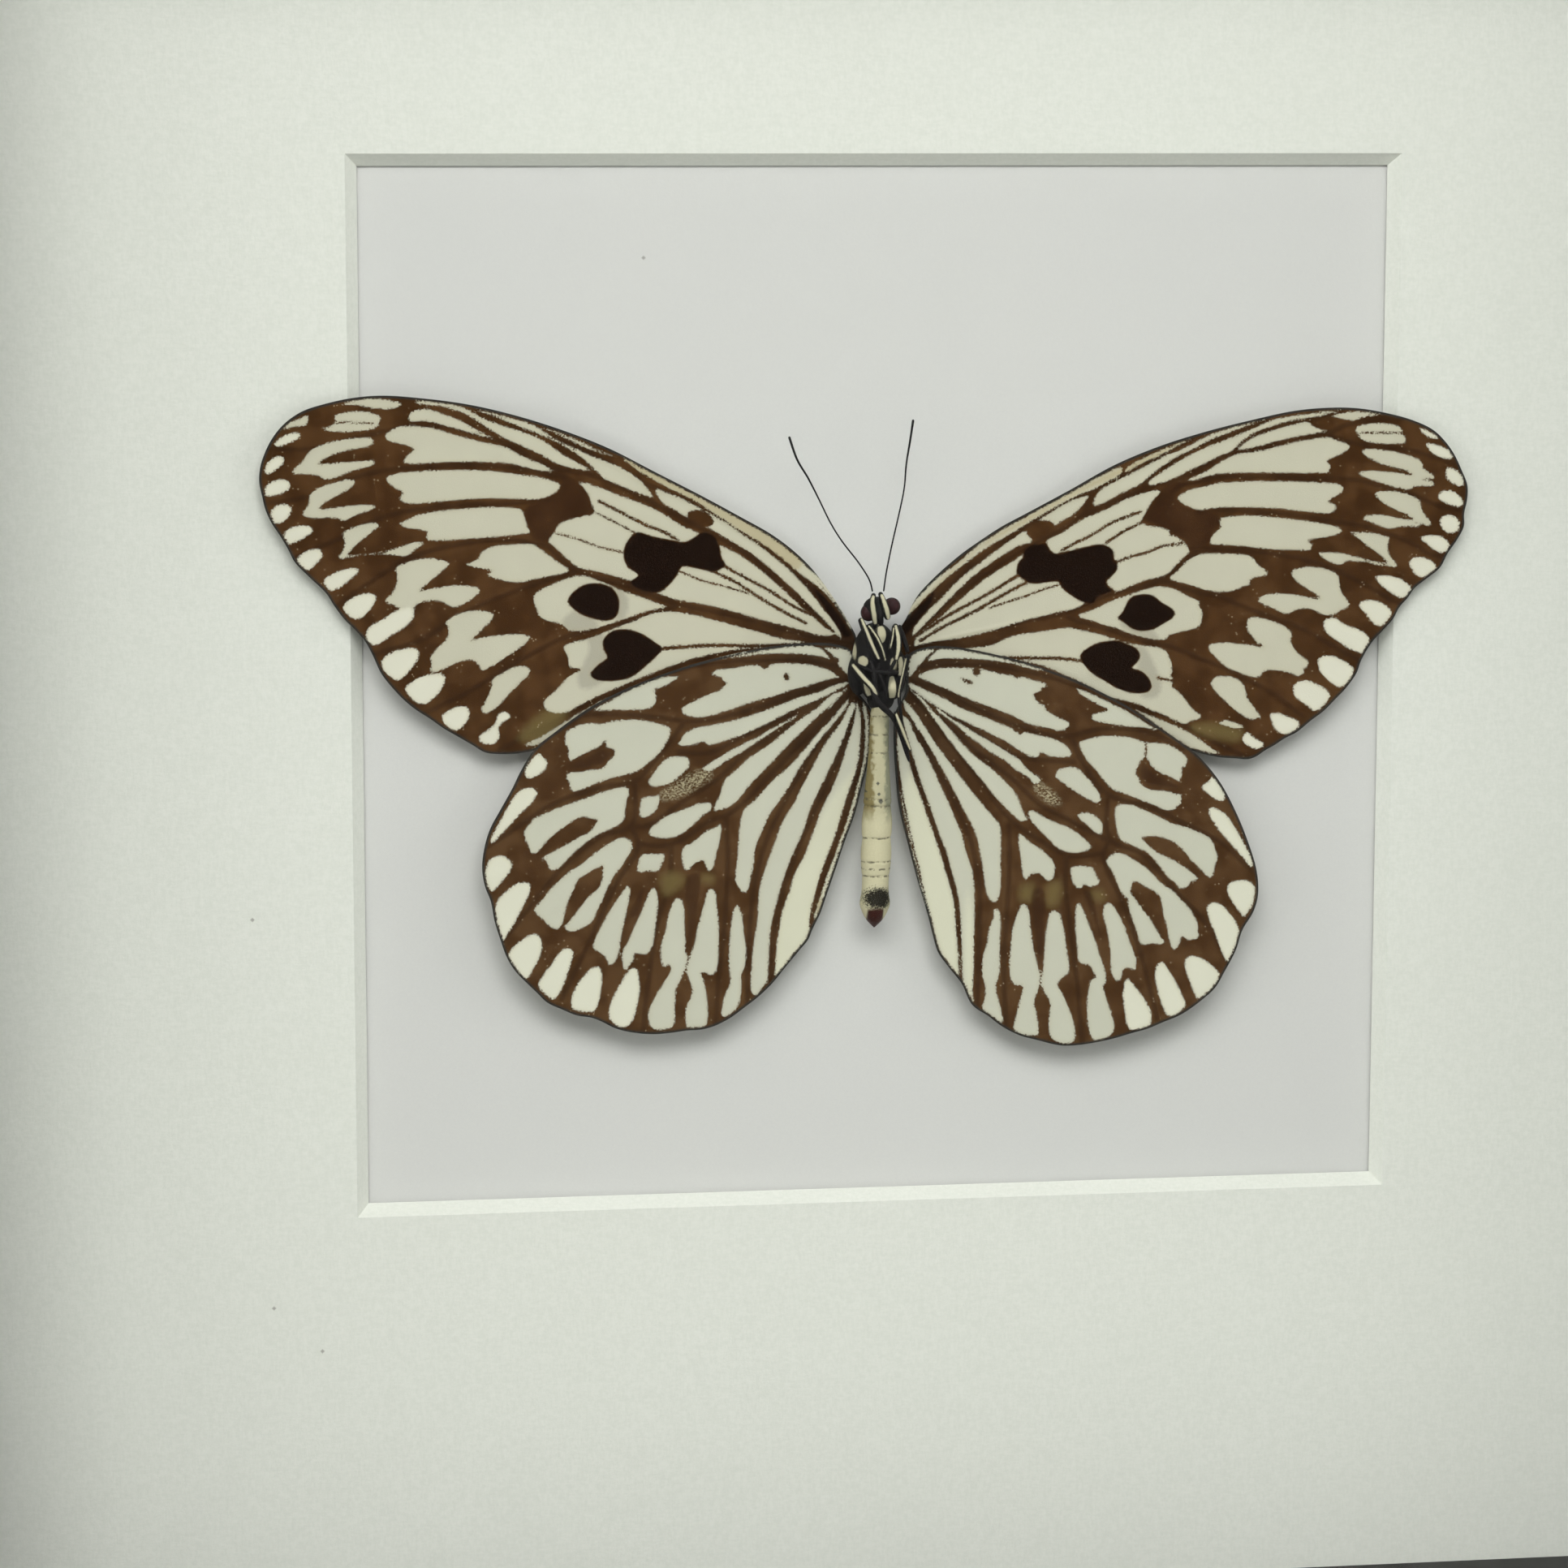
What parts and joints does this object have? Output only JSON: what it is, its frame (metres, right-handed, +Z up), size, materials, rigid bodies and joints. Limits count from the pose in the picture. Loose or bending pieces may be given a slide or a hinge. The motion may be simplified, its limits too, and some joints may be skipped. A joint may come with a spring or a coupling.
{
  "type": "framed butterfly specimen",
  "caption": "Square black shadow-box frame holding a spread black and cream butterfly, belly forward, in front of a pale windowed mat and behind glass.",
  "frame": {"origin": "middle of the frame's base, at the centre of its width and depth", "axes": "+Z up, the glass faces -Y, +X to the right when seen from the front"},
  "size_m": [0.236, 0.04, 0.236],
  "materials": {
    "black_wood": "satin black paint over fine wood grain",
    "clear_glass": "clear, flat",
    "black_board": "matt black paper face",
    "mat_board": "matt off-white with a fine fibre texture",
    "backing_paper": "matt pale cool grey",
    "hardboard": "pressed brown fibre",
    "steel": "zinc plated, slightly dull",
    "wing": "scaled membrane, cream and pale grey cells between dark brown veins and spots",
    "dark_body": "black scales and chitin with cream patches and stripes",
    "pale_body": "cream scales with faint rings and a dark tip"
  },
  "bodies": {
    "root": {"rail_top": "black_wood", "rail_right": "black_wood", "rail_bottom": "black_wood", "rail_left": "black_wood", "spacer_top": "black_board", "spacer_bottom": "black_board", "spacer_left": "black_board", "spacer_right": "black_board", "glass": "clear_glass", "mat": "mat_board", "backing_board": "backing_paper", "back_panel": "hardboard", "tab_top_a": "steel", "tab_top_b": "steel", "tab_right_a": "steel", "tab_right_b": "steel", "tab_bottom_a": "steel", "tab_bottom_b": "steel", "tab_left_a": "steel", "tab_left_b": "steel", "hanger": "steel", "hanger_nail_left": "steel", "hanger_nail_right": "steel", "forewing_left": "wing", "forewing_right": "wing", "hindwing_left": "wing", "hindwing_right": "wing", "head": "dark_body", "thorax": "dark_body", "abdomen": "pale_body", "antenna_left": "dark_body", "antenna_right": "dark_body", "leg_left_middle": "dark_body", "leg_right_middle": "dark_body", "leg_left_hind": "dark_body", "leg_right_hind": "dark_body"}
  },
  "joints": []
}
